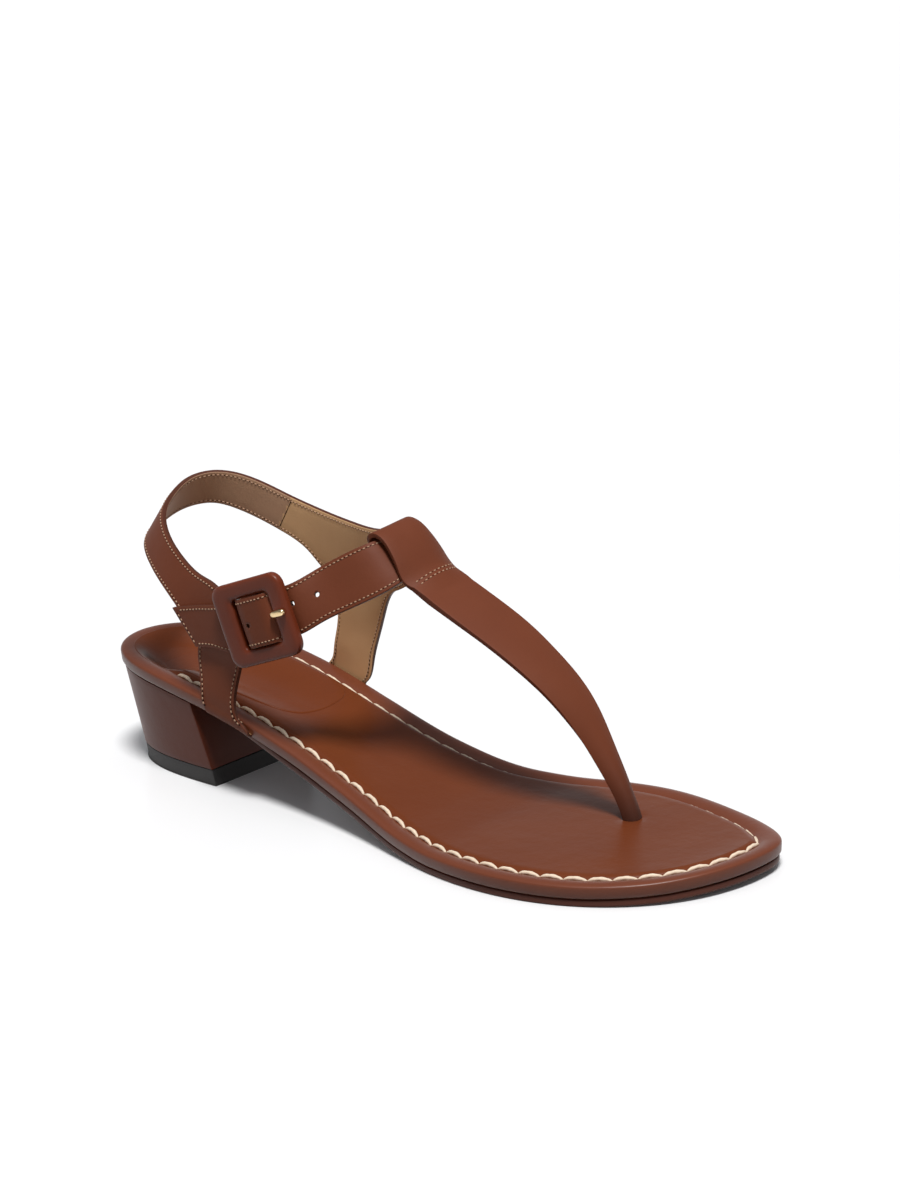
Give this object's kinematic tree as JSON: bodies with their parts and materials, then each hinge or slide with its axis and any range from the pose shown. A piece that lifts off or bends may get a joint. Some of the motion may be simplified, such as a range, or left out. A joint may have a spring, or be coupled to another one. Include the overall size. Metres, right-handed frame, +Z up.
{
  "type": "heeled sandal",
  "caption": "Right-foot heeled sandal: toe-post T-strap looped round a buckled ankle strap, back strap, quarters sewn to a padded leather footbed, thin outsole and low raked block heel.",
  "frame": {"origin": "middle of the bounding box on the floor, under the sole", "axes": "+X from heel to toe, +Y to the medial side, +Z up"},
  "size_m": [0.25, 0.0861, 0.0914],
  "materials": {
    "footbed": "semi-gloss brown leather wrapped over a board",
    "outsole": "matt brown sole leather",
    "heel": "semi-gloss brown leather over a block",
    "heel_lift": "matt black rubber",
    "upper": "smooth semi-gloss brown leather with a tan lining",
    "buckle_frame": "smooth brown leather over a metal frame",
    "buckle_prong": "polished pale gold"
  },
  "bodies": {
    "root": {"footbed": "footbed", "outsole": "outsole", "heel": "heel", "heel_lift": "heel_lift", "upper": "upper", "buckle_frame": "buckle_frame", "buckle_prong": "buckle_prong"}
  },
  "joints": []
}
